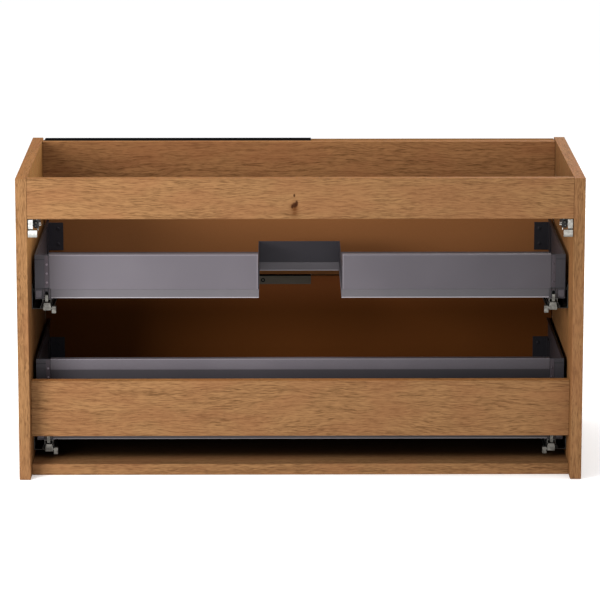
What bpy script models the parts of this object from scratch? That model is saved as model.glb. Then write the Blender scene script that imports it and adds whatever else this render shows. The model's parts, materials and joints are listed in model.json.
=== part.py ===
"""Wall-hung bathroom vanity cabinet with an open back and two metal-sided drawers.

Frame: +Z is up, the drawer fronts face -Y, the wall is at +Y, and the origin is the centre of
the base. "Left" and "right" are as seen from the front. All sizes are in metres.
"""

import math

import bmesh
import bpy
from mathutils import Matrix, Vector

# Carcass
WIDTH = 1.010
DEPTH = 0.475
HEIGHT = 0.5485
SIDE_THICKNESS = 0.020
BOTTOM_THICKNESS = 0.020
BACK_RECESS = 0.036            # the lower rail and the bottom stop short of the wall by this
REAR_RAIL_THICKNESS = 0.019
REAR_TOP_RAIL_LOW = 0.476
REAR_LOWER_RAIL = (0.072, 0.174)
FRONT_RAIL = (0.476, 0.546)
FRONT_RAIL_DEPTHS = (0.4360, 0.4515)
GAP = 0.0003                   # clearance between pieces that touch
EDGE_ROUND = 0.0006

# Drawer fronts, inset between the side panels; depths are measured from the back plane
FRONT_DEPTHS = (0.4555, 0.4745)
FRONT_HALF_WIDTH = 0.4840
UPPER_FRONT = (0.2872, 0.546)
LOWER_FRONT = (0.0225, 0.2842)

# Handle strip: a folded profile over the right half of each front's top edge
HANDLE_X = (-0.023, 0.481)
HANDLE_SHEET = 0.0015
HANDLE_RISE = 0.0020
HANDLE_FLANGE = 0.016
HANDLE_LIP = 0.010
HANDLE_SETBACK = 0.0010        # the lip stays behind the front's face by this
GRIP_DEPTH = 0.012             # milled finger groove behind the lip
GRIP_HEIGHT = 0.026
GRIP_SLOPE = 0.008
HANDLE_SCREW_X = (0.0685, 0.2290, 0.3895)
HANDLE_SCREW_DROP = 0.0079
SCREW_HEAD_RADIUS = 0.0042
SCREW_HEAD_HEIGHT = 0.0010
SCREW_SHANK_RADIUS = 0.0014
SCREW_LENGTH = 0.010
SCREW_POINT = 0.001
SCREW_HOLE_START = 0.005       # how far behind the front a screw's hole begins
HEAD_EDGE = 0.0005             # how much every screw head narrows at its rim

# Metal drawer boxes
DRAWER_BACK = 0.0922
BOX_SETBACK = 0.0018           # the sides and floors start in front of the rear brackets
SIDE_FRONT_SETBACK = 0.0023
FLOOR_FRONT_SETBACK = 0.0005
SIDE_OUTER = 0.4788
SHEET = 0.0015
WALL_SHEET = 0.0012
SIDE_HEM = 0.0030
SIDE_FOOT = 0.4470             # inner edge of the foot that the floor rests on
BRACKET_INNER = 0.4531
FLOOR_THICKNESS = 0.016
UPPER_FLOOR = 0.3145
LOWER_FLOOR = 0.0525
UPPER_RIM = 0.3942
LOWER_RIM = 0.2022
FRONT_BRACKET_INNER = 0.4485
FRONT_BRACKET_LEG = 0.045
REAR_BRACKET_LEG = 0.032
LEG_ABOVE_FLOOR = 0.0035
LEG_BELOW_RIM = 0.005
UPPER_FRONT_BRACKET = (0.3346, 0.3880)
LOWER_FRONT_BRACKET = (0.0725, 0.1654)
WALL_TOP_FOLD = 0.014
WALL_FOOT_FOLD = 0.012

# Cut-out of the upper drawer around the basin's trap
TRAP_HALF_WIDTH = 0.0747
TRAP_DEPTH = 0.3510
TRAP_WALL_TOP = 0.3706
TRAP_FOOT = 0.008
TRAP_FOOT_SETBACK = 0.001      # between the wall's foot and the surround's

# Runners; heights are measured from each runner's underside
RUNNER_DROP = 0.020            # from the drawer floor's underside to the runner's underside
RUNNER_BACK = 0.0940
RUNNER_FRONT = 0.4400
RUNNER_WALL_HEIGHT = 0.044
TRACK_HEIGHT = 0.006
TRACKS = (0.4450, 0.4690)      # inner edges of the two track ribs
MIDDLE_X = (0.4480, 0.4675)
MIDDLE_HEIGHTS = (0.0017, 0.0105)
MIDDLE_SETBACK = 0.002
MEMBER_X = (0.4500, 0.4655)
MEMBER_HEIGHTS = (0.0110, 0.0180)
STOP_DEPTHS = (0.0800, 0.0930)
STOP_X = (0.4496, 0.4636)
STOP_HEIGHTS = (0.0003, 0.0080, 0.0138)    # underside, shoulder and top
STOP_SHOULDER = 0.0016
FOOT_DEPTHS = (0.0820, 0.0920)
FOOT_X = (0.4409, 0.4483)
FOOT_HEIGHTS = (-0.0055, 0.0068)
FOOT_ARM = (0.0020, 0.0050)

# Hook at the rear of the drawer's runner profile, and the slot its pin enters
HOOK_X = 0.4578
HOOK_WIDTH = 0.0055
HOOK_DEPTHS = (0.0860, 0.0900, 0.0960)
HOOK_HEIGHTS = (0.0144, 0.0178, 0.0274)    # underside, top of its root and tip
PIN_HEIGHT = 0.0248
PIN_RADIUS = 0.0024
PIN_END = 0.1010
PIN_POINT = 0.001
PIN_TIP_RADIUS = 0.0015
PIN_SLOT = (0.0216, 0.0330)
PIN_SLOT_RADIUS = 0.0030
PIN_SLOT_SPARE = 0.004         # how far the slot runs on past the pin

# Wall hangers
HANGER_INNER = 0.4655
HANGER_DEPTHS = (0.0205, 0.0750)
HANGER_HEIGHTS = (0.4560, 0.5300)
ARM_X = (0.4750, 0.4835)
ARM_DEPTHS = (0.0045, 0.0580)
ARM_HEIGHTS = (0.4576, 0.4741)
ARM_CLEARANCE = 0.0009
CLAW_INNER = 0.4673
CLAW_DEPTHS = (0.0020, 0.0065)
CLAW_HEIGHTS = (0.4430, 0.4555)
CLAW_NECK = 0.0010             # thickness of the web between the claw and the arm
HANGER_SCREW = (0.4702, 0.4665)
HANGER_SCREW_DEPTHS = (0.0170, 0.0753)
HANGER_SCREW_RADIUS = 0.0026
HANGER_SCREW_TIP_RADIUS = 0.0018
HANGER_SCREW_POINT = 0.0010
HANGER_SCREW_HEAD = 0.0042
HANGER_SCREW_HEAD_HEIGHT = 0.0035
HANGER_BORE_RADIUS = 0.0030
DRIVER_SLOT_WIDTH = 0.0012
DRIVER_SLOT_DEPTH = 0.0018

ROUND_SEGMENTS = 16
SMOOTH_ANGLE = math.radians(35)
EMPTY_SIZE = 0.05
THROUGH = 0.010                # how far a cutter runs past the surface it opens
SIDES = (("left", -1), ("right", 1))


def clear_scene():
    """Remove whatever the scene holds."""
    for item in list(bpy.data.objects):
        bpy.data.objects.remove(item, do_unlink=True)


def make_material(name, colour, roughness, metallic=0.0):
    """A Principled material with one colour."""
    material = bpy.data.materials.new(name)
    material.use_nodes = True
    shader = material.node_tree.nodes["Principled BSDF"]
    shader.inputs["Base Color"].default_value = (*colour, 1.0)
    shader.inputs["Roughness"].default_value = roughness
    shader.inputs["Metallic"].default_value = metallic
    material.diffuse_color = (*colour, 1.0)
    return material


def back(depth):
    """Y of the plane that lies this far in front of the cabinet's back."""
    return DEPTH / 2 - depth


# Mesh helpers

def add_box(mesh, x, y, z):
    """Add a box, each side given as two coordinates in either order."""
    low = Vector((min(x), min(y), min(z)))
    high = Vector((max(x), max(y), max(z)))
    place = Matrix.Translation((low + high) / 2) @ Matrix.Diagonal((*(high - low), 1.0))
    bmesh.ops.create_cube(mesh, size=1.0, matrix=place)


def add_prism(mesh, outline, axis, start, end):
    """Extrude a closed outline along an axis; its points give the other two axes in order."""
    def corner(point, along):
        coordinates = list(point)
        coordinates.insert("XYZ".index(axis), along)
        return mesh.verts.new(coordinates)

    near = [corner(point, start) for point in outline]
    far = [corner(point, end) for point in outline]
    mesh.faces.new(near)
    mesh.faces.new(far)
    for index, vertex in enumerate(near):
        following = (index + 1) % len(near)
        mesh.faces.new((vertex, near[following], far[following], far[index]))


def add_turned(mesh, profile, x, z):
    """Turn a profile of (y, radius) points about the line through x and z along Y."""
    rings = []
    for y, radius in profile:
        angles = [2 * math.pi * step / ROUND_SEGMENTS for step in range(ROUND_SEGMENTS)]
        points = [(x + radius * math.cos(a), y, z + radius * math.sin(a)) for a in angles]
        rings.append([mesh.verts.new(point) for point in points])
    for ring, following in zip(rings, rings[1:]):
        for step in range(ROUND_SEGMENTS):
            after = (step + 1) % ROUND_SEGMENTS
            mesh.faces.new((ring[step], ring[after], following[after], following[step]))
    mesh.faces.new(rings[0])
    mesh.faces.new(rings[-1])


def mirrored(side, values):
    """X coordinates of a right-hand piece, or of its left-hand twin when side is -1."""
    return [side * value for value in values]


def mirrored_outline(side, outline):
    """An X-first outline of a right-hand piece, or of its left-hand twin."""
    return [(side * x, other) for x, other in outline]


# Object helpers

def add_part(name, mesh, material=None, parent=None, origin=(0.0, 0.0, 0.0)):
    """Make an object from a mesh in cabinet coordinates, with its origin where asked."""
    bmesh.ops.recalc_face_normals(mesh, faces=mesh.faces)
    bmesh.ops.translate(mesh, verts=mesh.verts, vec=-Vector(origin))
    data = bpy.data.meshes.new(name)
    mesh.to_mesh(data)
    mesh.free()
    part = bpy.data.objects.new(name, data)
    bpy.context.collection.objects.link(part)
    part.location = origin
    if parent:
        part.parent = parent
        part.location = Vector(origin) - parent.location
    if material:
        data.materials.append(material)
    return part


def add_empty(name, location):
    """An empty that carries the pieces of one moving body."""
    empty = bpy.data.objects.new(name, None)
    empty.empty_display_size = EMPTY_SIZE
    empty.location = location
    bpy.context.collection.objects.link(empty)
    return empty


def combine(part, tool_mesh, operation):
    """Join another solid to a part, or cut it away, with an exact Boolean."""
    tool = add_part(part.name + "_" + operation.lower(), tool_mesh, parent=part.parent)
    tool.hide_render = True
    tool.display_type = "WIRE"
    modifier = part.modifiers.new(operation.title(), "BOOLEAN")
    modifier.operation = operation
    modifier.solver = "EXACT"
    modifier.object = tool


def round_edges(part, width=EDGE_ROUND):
    """Take the sharpness off a part's edges."""
    modifier = part.modifiers.new("Edge", "BEVEL")
    modifier.width = width
    modifier.segments = 2
    modifier.limit_method = "ANGLE"


def shade_round(part):
    """Shade a turned piece smooth, keeping its edges."""
    part.data.shade_smooth()
    part.data.set_sharp_from_angle(angle=SMOOTH_ANGLE)


def add_panel(name, x, y, z, material, parent=None):
    """A board with slightly rounded edges."""
    mesh = bmesh.new()
    add_box(mesh, x, y, z)
    panel = add_part(name, mesh, material, parent)
    round_edges(panel)
    return panel


# Carcass

def add_carcass(oak):
    """The two sides, the bottom and the three rails."""
    inner = WIDTH / 2 - SIDE_THICKNESS
    between = (-inner + GAP, inner - GAP)
    for name, side in SIDES:
        x = mirrored(side, (inner, WIDTH / 2))
        add_panel("side_panel_" + name, x, (back(0), back(DEPTH)), (0, HEIGHT), oak)
    bottom_y = (back(BACK_RECESS), back(FRONT_DEPTHS[1]))
    add_panel("bottom_panel", between, bottom_y, (0, BOTTOM_THICKNESS), oak)
    top_rail_y = (back(0), back(REAR_RAIL_THICKNESS))
    add_panel("rear_top_rail", between, top_rail_y, (REAR_TOP_RAIL_LOW, HEIGHT), oak)
    lower_rail_y = (back(BACK_RECESS), back(BACK_RECESS + REAR_RAIL_THICKNESS))
    add_panel("rear_lower_rail", between, lower_rail_y, REAR_LOWER_RAIL, oak)
    front_rail_y = [back(depth) for depth in FRONT_RAIL_DEPTHS]
    add_panel("front_top_rail", between, front_rail_y, FRONT_RAIL, oak)


# Wall hangers

def add_hanger(name, side, steel, plastic):
    """A corner hanger: a housing, the hook that grips the wall plate and its height screw."""
    outer = WIDTH / 2 - SIDE_THICKNESS - GAP
    screw_x, screw_z = HANGER_SCREW
    screw_x *= side

    mesh = bmesh.new()
    housing_y = [back(depth) for depth in HANGER_DEPTHS]
    add_box(mesh, mirrored(side, (HANGER_INNER, outer)), housing_y, HANGER_HEIGHTS)
    housing = add_part(f"hanger_{name}_housing", mesh, plastic)
    slot = bmesh.new()
    slot_x = mirrored(side, (ARM_X[0] - ARM_CLEARANCE, outer + THROUGH))
    slot_y = (back(HANGER_DEPTHS[0] - THROUGH), back(ARM_DEPTHS[1] + ARM_CLEARANCE))
    slot_z = (HANGER_HEIGHTS[0] - THROUGH, ARM_HEIGHTS[1] + ARM_CLEARANCE)
    add_box(slot, slot_x, slot_y, slot_z)
    combine(housing, slot, "DIFFERENCE")
    bore = bmesh.new()
    bore_ends = [back(HANGER_DEPTHS[0] - THROUGH), back(HANGER_DEPTHS[1] + THROUGH)]
    add_turned(bore, [(end, HANGER_BORE_RADIUS) for end in bore_ends], screw_x, screw_z)
    combine(housing, bore, "DIFFERENCE")
    add_hook(name, side, steel)
    add_height_screw(name, screw_x, screw_z, steel)


def add_hook(name, side, steel):
    """The hook: an arm in the housing and a claw plate on a thin web behind it."""
    arm_y = [back(depth) for depth in ARM_DEPTHS]
    place = (side * sum(ARM_X) / 2, back(HANGER_DEPTHS[0]), sum(ARM_HEIGHTS) / 2)
    slide = add_empty(f"hanger_{name}_height", place)
    mesh = bmesh.new()
    add_box(mesh, mirrored(side, ARM_X), arm_y, ARM_HEIGHTS)
    hook = add_part(f"hanger_{name}_hook", mesh, steel, slide, slide.location)
    claw = bmesh.new()
    claw_y = [back(depth) for depth in CLAW_DEPTHS]
    add_box(claw, mirrored(side, (CLAW_INNER, ARM_X[1])), claw_y, CLAW_HEIGHTS)
    combine(hook, claw, "UNION")
    web = bmesh.new()
    web_y = (back(CLAW_DEPTHS[1] - CLAW_NECK), back(CLAW_DEPTHS[1]))
    add_box(web, mirrored(side, ARM_X), web_y, (sum(CLAW_HEIGHTS) / 2, sum(ARM_HEIGHTS) / 2))
    combine(hook, web, "UNION")


def add_height_screw(name, x, z, steel):
    """The slotted screw that raises and lowers a hook."""
    rear, shoulder = HANGER_SCREW_DEPTHS
    front = shoulder + HANGER_SCREW_HEAD_HEIGHT
    turn = add_empty(f"hanger_{name}_screw_turn", (x, back(shoulder), z))
    mesh = bmesh.new()
    profile = (
        (back(rear), HANGER_SCREW_TIP_RADIUS),
        (back(rear + HANGER_SCREW_POINT), HANGER_SCREW_RADIUS),
        (back(shoulder), HANGER_SCREW_RADIUS),
        (back(shoulder), HANGER_SCREW_HEAD),
        (back(front - HEAD_EDGE), HANGER_SCREW_HEAD),
        (back(front), HANGER_SCREW_HEAD - HEAD_EDGE),
    )
    add_turned(mesh, profile, x, z)
    screw = add_part(f"hanger_{name}_height_screw", mesh, steel, turn, turn.location)
    shade_round(screw)
    slot = bmesh.new()
    slot_x = (x - DRIVER_SLOT_WIDTH / 2, x + DRIVER_SLOT_WIDTH / 2)
    slot_z = (z - HANGER_SCREW_HEAD * 2, z + HANGER_SCREW_HEAD * 2)
    add_box(slot, slot_x, (back(front - DRIVER_SLOT_DEPTH), back(front + THROUGH)), slot_z)
    combine(screw, slot, "DIFFERENCE")


# Runners

def channel(inner, outer, low, high):
    """Cross-section of a sheet channel that is open at its underside."""
    return (
        (inner, low), (inner, high), (outer, high), (outer, low),
        (outer - WALL_SHEET, low), (outer - WALL_SHEET, high - WALL_SHEET),
        (inner + WALL_SHEET, high - WALL_SHEET), (inner + WALL_SHEET, low),
    )


def add_cabinet_member(name, side, base, steel):
    """The runner profile fixed to the side panel: an angle with two track ribs."""
    wall = WIDTH / 2 - SIDE_THICKNESS - GAP
    sheet_top = base + WALL_SHEET
    wall_top = base + RUNNER_WALL_HEIGHT
    rib_top = base + TRACK_HEIGHT
    inner, outer = TRACKS
    outline = (
        (wall, base), (wall, wall_top), (wall - WALL_SHEET, wall_top),
        (wall - WALL_SHEET, sheet_top), (outer + WALL_SHEET, sheet_top),
        (outer + WALL_SHEET, rib_top), (outer, rib_top), (outer, sheet_top),
        (inner + WALL_SHEET, sheet_top), (inner + WALL_SHEET, rib_top),
        (inner, rib_top), (inner, base),
    )
    mesh = bmesh.new()
    add_prism(mesh, mirrored_outline(side, outline), "Y", back(RUNNER_BACK), back(RUNNER_FRONT))
    add_part(name + "_cabinet_member", mesh, steel)


def add_rear_stop(name, side, base, steel):
    """The cast stop behind the fixed runner profile, with its adjusting foot."""
    inner, outer = STOP_X
    low, shoulder, top = [base + height for height in STOP_HEIGHTS]
    outline = (
        (inner, low), (inner, shoulder), (inner + STOP_SHOULDER, top),
        (outer - STOP_SHOULDER, top), (outer, shoulder), (outer, low),
    )
    mesh = bmesh.new()
    ends = [back(depth) for depth in STOP_DEPTHS]
    add_prism(mesh, mirrored_outline(side, outline), "Y", *ends)
    stop = add_part(name + "_rear_stop", mesh, steel)
    foot_low, foot_top = [base + height for height in FOOT_HEIGHTS]
    arm_low, arm_top = [base + height for height in FOOT_ARM]
    reach = inner + STOP_SHOULDER
    outline = (
        (FOOT_X[0], foot_low), (FOOT_X[0], foot_top), (FOOT_X[1], foot_top), (FOOT_X[1], arm_top),
        (reach, arm_top), (reach, arm_low), (FOOT_X[1], arm_low), (FOOT_X[1], foot_low),
    )
    foot = bmesh.new()
    ends = [back(depth) for depth in FOOT_DEPTHS]
    add_prism(foot, mirrored_outline(side, outline), "Y", *ends)
    combine(stop, foot, "UNION")


def add_middle_member(name, side, base, steel):
    """The sliding profile between the cabinet's and the drawer's."""
    place = add_empty(name + "_middle_slide", (side * HOOK_X, back(RUNNER_BACK), base))
    low, high = [base + height for height in MIDDLE_HEIGHTS]
    outline = channel(*MIDDLE_X, low, high)
    mesh = bmesh.new()
    front = back(RUNNER_FRONT - MIDDLE_SETBACK)
    add_prism(mesh, mirrored_outline(side, outline), "Y", back(RUNNER_BACK), front)
    add_part(name + "_middle_member", mesh, steel, place, place.location)


def add_drawer_member(name, side, base, steel, drawer):
    """The profile under the drawer, whose rear hook pins the drawer's back."""
    low, high = [base + height for height in MEMBER_HEIGHTS]
    outline = channel(*MEMBER_X, low, high)
    mesh = bmesh.new()
    ends = (back(RUNNER_BACK), back(RUNNER_FRONT))
    add_prism(mesh, mirrored_outline(side, outline), "Y", *ends)
    member = add_part(name + "_drawer_member", mesh, steel, drawer, drawer.location)
    hook_x = mirrored(side, (HOOK_X - HOOK_WIDTH / 2, HOOK_X + HOOK_WIDTH / 2))
    rear, face, root = [back(depth) for depth in HOOK_DEPTHS]
    low, root_top, tip = [base + height for height in HOOK_HEIGHTS]
    hook = bmesh.new()
    outline = (
        (rear, low), (rear, tip), (face, tip), (face, root_top), (root, root_top), (root, low),
    )
    add_prism(hook, outline, "X", *hook_x)
    combine(member, hook, "UNION")
    pin = bmesh.new()
    start = back(sum(HOOK_DEPTHS[:2]) / 2)
    profile = (
        (start, PIN_RADIUS), (back(PIN_END), PIN_RADIUS), (back(PIN_END + PIN_POINT), PIN_TIP_RADIUS),
    )
    add_turned(pin, profile, side * HOOK_X, base + PIN_HEIGHT)
    combine(member, pin, "UNION")


def add_runner(level, name, side, floor, steel, drawer):
    """One full-extension runner of three profiles."""
    base = floor - RUNNER_DROP
    label = f"{level}_runner_{name}"
    add_cabinet_member(label, side, base, steel)
    add_rear_stop(label, side, base, steel)
    add_middle_member(label, side, base, steel)
    add_drawer_member(label, side, base, steel, drawer)


# Drawers

def add_drawer_side(level, name, side, floor, rim, grey, drawer):
    """A pressed side with a hemmed rim and a foot under the floor."""
    inner = SIDE_OUTER - SHEET
    foot_top = floor - GAP
    outline = (
        (SIDE_OUTER, foot_top - WALL_SHEET), (SIDE_OUTER, rim), (inner - SIDE_HEM, rim),
        (inner - SIDE_HEM, rim - SHEET), (inner, rim - SHEET), (inner, foot_top),
        (SIDE_FOOT, foot_top), (SIDE_FOOT, foot_top - WALL_SHEET),
    )
    mesh = bmesh.new()
    ends = (back(DRAWER_BACK + BOX_SETBACK), back(FRONT_DEPTHS[0] - SIDE_FRONT_SETBACK))
    add_prism(mesh, mirrored_outline(side, outline), "Y", *ends)
    add_part(f"{level}_drawer_side_{name}", mesh, grey, drawer, drawer.location)


def add_rear_bracket(level, name, side, floor, rim, grey, drawer):
    """The corner plate that joins a drawer side to the rear wall, holed for the runner's pin."""
    mesh = bmesh.new()
    plate_y = (back(DRAWER_BACK), back(DRAWER_BACK + SHEET))
    add_box(mesh, mirrored(side, (BRACKET_INNER, SIDE_OUTER)), plate_y, (floor, rim))
    bracket = add_part(f"{level}_rear_bracket_{name}", mesh, grey, drawer, drawer.location)
    leg = bmesh.new()
    leg_x = mirrored(side, (SIDE_OUTER - 2 * SHEET - 2 * GAP, SIDE_OUTER - SHEET - GAP))
    leg_y = (back(DRAWER_BACK + SHEET / 2), back(DRAWER_BACK + REAR_BRACKET_LEG))
    add_box(leg, leg_x, leg_y, (floor + FLOOR_THICKNESS + LEG_ABOVE_FLOOR, rim - LEG_BELOW_RIM))
    combine(bracket, leg, "UNION")
    slot = bmesh.new()
    add_pin_slot(slot, side, floor)
    combine(bracket, slot, "DIFFERENCE")


def add_front_bracket(level, name, side, heights, grey, drawer):
    """The angle that screws a drawer side to the front."""
    mesh = bmesh.new()
    outer = SIDE_OUTER - SHEET - GAP
    face = FRONT_DEPTHS[0] - GAP
    outline = (
        (outer, back(face)), (FRONT_BRACKET_INNER, back(face)),
        (FRONT_BRACKET_INNER, back(face - SHEET)), (outer - SHEET, back(face - SHEET)),
        (outer - SHEET, back(face - FRONT_BRACKET_LEG)), (outer, back(face - FRONT_BRACKET_LEG)),
    )
    add_prism(mesh, mirrored_outline(side, outline), "Z", *heights)
    add_part(f"{level}_front_bracket_{name}", mesh, grey, drawer, drawer.location)


def add_rear_wall(name, x, floor, rim, grey, drawer):
    """A folded sheet wall that stands on the floor's rear edge."""
    foot = floor + FLOOR_THICKNESS + GAP
    face = DRAWER_BACK
    outline = (
        (back(face), foot), (back(face), rim), (back(face + WALL_TOP_FOLD), rim),
        (back(face + WALL_TOP_FOLD), rim - WALL_SHEET), (back(face + WALL_SHEET), rim - WALL_SHEET),
        (back(face + WALL_SHEET), foot + WALL_SHEET), (back(face + WALL_FOOT_FOLD), foot + WALL_SHEET),
        (back(face + WALL_FOOT_FOLD), foot),
    )
    mesh = bmesh.new()
    add_prism(mesh, outline, "X", *x)
    add_part(name, mesh, grey, drawer, drawer.location)


def add_pin_slot(mesh, side, floor):
    """Cutter for the upright, round-ended slot that a runner's pin enters from behind."""
    low, high = [floor - RUNNER_DROP + height for height in PIN_SLOT]
    outline = []
    for centre, start in ((high - PIN_SLOT_RADIUS, 0.0), (low + PIN_SLOT_RADIUS, math.pi)):
        for step in range(ROUND_SEGMENTS // 2 + 1):
            angle = start + 2 * math.pi * step / ROUND_SEGMENTS
            x = HOOK_X + PIN_SLOT_RADIUS * math.cos(angle)
            outline.append((x, centre + PIN_SLOT_RADIUS * math.sin(angle)))
    ends = (back(DRAWER_BACK - THROUGH), back(PIN_END + PIN_SLOT_SPARE))
    add_prism(mesh, mirrored_outline(side, outline), "Y", *ends)


def slot_for_pins(board, floor):
    """Blind slots in a drawer floor's rear edge for both runners' pins."""
    slots = bmesh.new()
    for _, side in SIDES:
        add_pin_slot(slots, side, floor)
    combine(board, slots, "DIFFERENCE")


def add_floor(level, outline, floor, board, drawer):
    """A drawer's floor board, cut to an outline seen from above."""
    mesh = bmesh.new()
    add_prism(mesh, outline, "Z", floor, floor + FLOOR_THICKNESS)
    panel = add_part(f"{level}_drawer_floor", mesh, board, drawer, drawer.location)
    slot_for_pins(panel, floor)


def trap_outline(half_width, depth, rear):
    """Open U around the trap as three corners on each side, from the rear left inwards."""
    return [(-half_width, back(rear)), (-half_width, back(depth)),
            (half_width, back(depth)), (half_width, back(rear))]


def u_strip(half_width, depth, rear, thickness):
    """A strip of even thickness bent round the trap."""
    inside = trap_outline(half_width, depth, rear)
    outside = trap_outline(half_width + thickness, depth + thickness, rear)
    return inside + outside[::-1]


def add_trap_surround(floor, grey, drawer):
    """The low sheet wall around the trap cut-out, with a foot on the floor."""
    foot = floor + FLOOR_THICKNESS + GAP
    inner = TRAP_HALF_WIDTH + GAP
    depth = TRAP_DEPTH + GAP
    mesh = bmesh.new()
    rear = DRAWER_BACK + GAP
    add_prism(mesh, u_strip(inner, depth, rear, WALL_SHEET), "Z", foot, TRAP_WALL_TOP)
    wall = add_part("trap_surround", mesh, grey, drawer, drawer.location)
    flange = bmesh.new()
    rear = DRAWER_BACK + WALL_FOOT_FOLD + TRAP_FOOT_SETBACK
    outline = u_strip(inner + WALL_SHEET / 2, depth + WALL_SHEET / 2, rear, TRAP_FOOT)
    add_prism(flange, outline, "Z", foot, foot + WALL_SHEET)
    combine(wall, flange, "UNION")


def handle_section(top):
    """Cross-section of the handle strip: flange behind the front, plate over it, lip before it."""
    inner = FRONT_DEPTHS[0] - GAP
    outer = FRONT_DEPTHS[1] - HANDLE_SETBACK
    plate = (top + GAP, top + HANDLE_RISE)
    return (
        (back(inner - HANDLE_SHEET), top - HANDLE_FLANGE), (back(inner - HANDLE_SHEET), plate[1]),
        (back(outer), plate[1]), (back(outer), top - HANDLE_LIP),
        (back(outer - HANDLE_SHEET), top - HANDLE_LIP), (back(outer - HANDLE_SHEET), plate[0]),
        (back(inner), plate[0]), (back(inner), top - HANDLE_FLANGE),
    )


def add_handle(level, top, black, steel, drawer):
    """The handle strip and its three screws."""
    mesh = bmesh.new()
    add_prism(mesh, handle_section(top), "X", *HANDLE_X)
    handle = add_part(f"{level}_handle", mesh, black, drawer, drawer.location)
    height = top - HANDLE_SCREW_DROP
    combine(handle, screw_holes(height), "DIFFERENCE")
    face = FRONT_DEPTHS[0] - GAP - HANDLE_SHEET - GAP
    for number, x in enumerate(HANDLE_SCREW_X, start=1):
        mesh = bmesh.new()
        profile = (
            (back(face - SCREW_HEAD_HEIGHT), SCREW_HEAD_RADIUS - HEAD_EDGE),
            (back(face - SCREW_HEAD_HEIGHT / 2), SCREW_HEAD_RADIUS),
            (back(face), SCREW_HEAD_RADIUS),
            (back(face), SCREW_SHANK_RADIUS),
            (back(face + SCREW_LENGTH), SCREW_SHANK_RADIUS),
            (back(face + SCREW_LENGTH + SCREW_POINT), SCREW_SHANK_RADIUS / 3),
        )
        add_turned(mesh, profile, x, height)
        name = f"{level}_handle_screw_{number}"
        shade_round(add_part(name, mesh, steel, drawer, drawer.location))


def screw_holes(height):
    """Cutter for the handle screws' holes."""
    holes = bmesh.new()
    radius = SCREW_SHANK_RADIUS + GAP
    depths = (FRONT_DEPTHS[0] - SCREW_HOLE_START, FRONT_DEPTHS[0] + SCREW_LENGTH)
    ends = [(back(depth), radius) for depth in depths]
    for x in HANDLE_SCREW_X:
        add_turned(holes, ends, x, height)
    return holes


def add_front(level, heights, oak, drawer):
    """A drawer front with the finger groove milled under its handle strip."""
    width = (-FRONT_HALF_WIDTH, FRONT_HALF_WIDTH)
    depths = [back(depth) for depth in FRONT_DEPTHS]
    front = add_panel(f"{level}_front", width, depths, heights, oak, drawer)
    top = heights[1]
    outer = FRONT_DEPTHS[1]
    groove = bmesh.new()
    outline = (
        (back(outer - GRIP_DEPTH), top + THROUGH), (back(outer + THROUGH), top + THROUGH),
        (back(outer + THROUGH), top - GRIP_HEIGHT - GRIP_SLOPE * (1 + THROUGH / GRIP_DEPTH)),
        (back(outer - GRIP_DEPTH), top - GRIP_HEIGHT),
    )
    add_prism(groove, outline, "X", HANDLE_X[0] - GAP, FRONT_HALF_WIDTH + THROUGH)
    combine(front, groove, "DIFFERENCE")
    combine(front, screw_holes(top - HANDLE_SCREW_DROP), "DIFFERENCE")


def add_drawer(level, floor, rim, front_heights, bracket_heights, materials):
    """The pieces that both drawers have; returns the empty that carries them."""
    grey, oak, black, steel = (materials[key] for key in ("grey", "oak", "black", "steel"))
    drawer = add_empty(f"{level}_drawer_slide", (0, back(DRAWER_BACK), floor))
    for name, side in SIDES:
        add_runner(level, name, side, floor, steel, drawer)
        add_drawer_side(level, name, side, floor, rim, grey, drawer)
        add_rear_bracket(level, name, side, floor, rim, grey, drawer)
        add_front_bracket(level, name, side, bracket_heights, grey, drawer)
    add_front(level, front_heights, oak, drawer)
    add_handle(level, front_heights[1], black, steel, drawer)
    return drawer


def add_upper_drawer(materials):
    """The upper drawer, whose floor and rear wall open around the trap."""
    bracket = UPPER_FRONT_BRACKET
    drawer = add_drawer("upper", UPPER_FLOOR, UPPER_RIM, UPPER_FRONT, bracket, materials)
    for name, side in SIDES:
        ends = (TRAP_HALF_WIDTH + 2 * GAP + WALL_SHEET, BRACKET_INNER - GAP)
        wall_name = "upper_rear_wall_" + name
        add_rear_wall(wall_name, mirrored(side, ends), UPPER_FLOOR, UPPER_RIM,
                      materials["grey"], drawer)
    half, rear, front = floor_limits()
    outline = [(-half, back(front)), (-half, back(rear))]
    outline += trap_outline(TRAP_HALF_WIDTH, TRAP_DEPTH, rear)
    outline += [(half, back(rear)), (half, back(front))]
    add_floor("upper", outline, UPPER_FLOOR, materials["board"], drawer)
    add_trap_surround(UPPER_FLOOR, materials["grey"], drawer)


def floor_limits():
    """Half width, rear depth and front depth of a drawer's floor board."""
    return SIDE_OUTER - SHEET - 2 * GAP, DRAWER_BACK + BOX_SETBACK, FRONT_DEPTHS[0] - FLOOR_FRONT_SETBACK


def add_lower_drawer(materials):
    """The lower drawer, with an unbroken floor and rear wall."""
    bracket = LOWER_FRONT_BRACKET
    drawer = add_drawer("lower", LOWER_FLOOR, LOWER_RIM, LOWER_FRONT, bracket, materials)
    span = (-BRACKET_INNER + GAP, BRACKET_INNER - GAP)
    add_rear_wall("lower_rear_wall", span, LOWER_FLOOR, LOWER_RIM, materials["grey"], drawer)
    half, rear, front = floor_limits()
    outline = [(-half, back(front)), (-half, back(rear)), (half, back(rear)), (half, back(front))]
    add_floor("lower", outline, LOWER_FLOOR, materials["board"], drawer)


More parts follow.
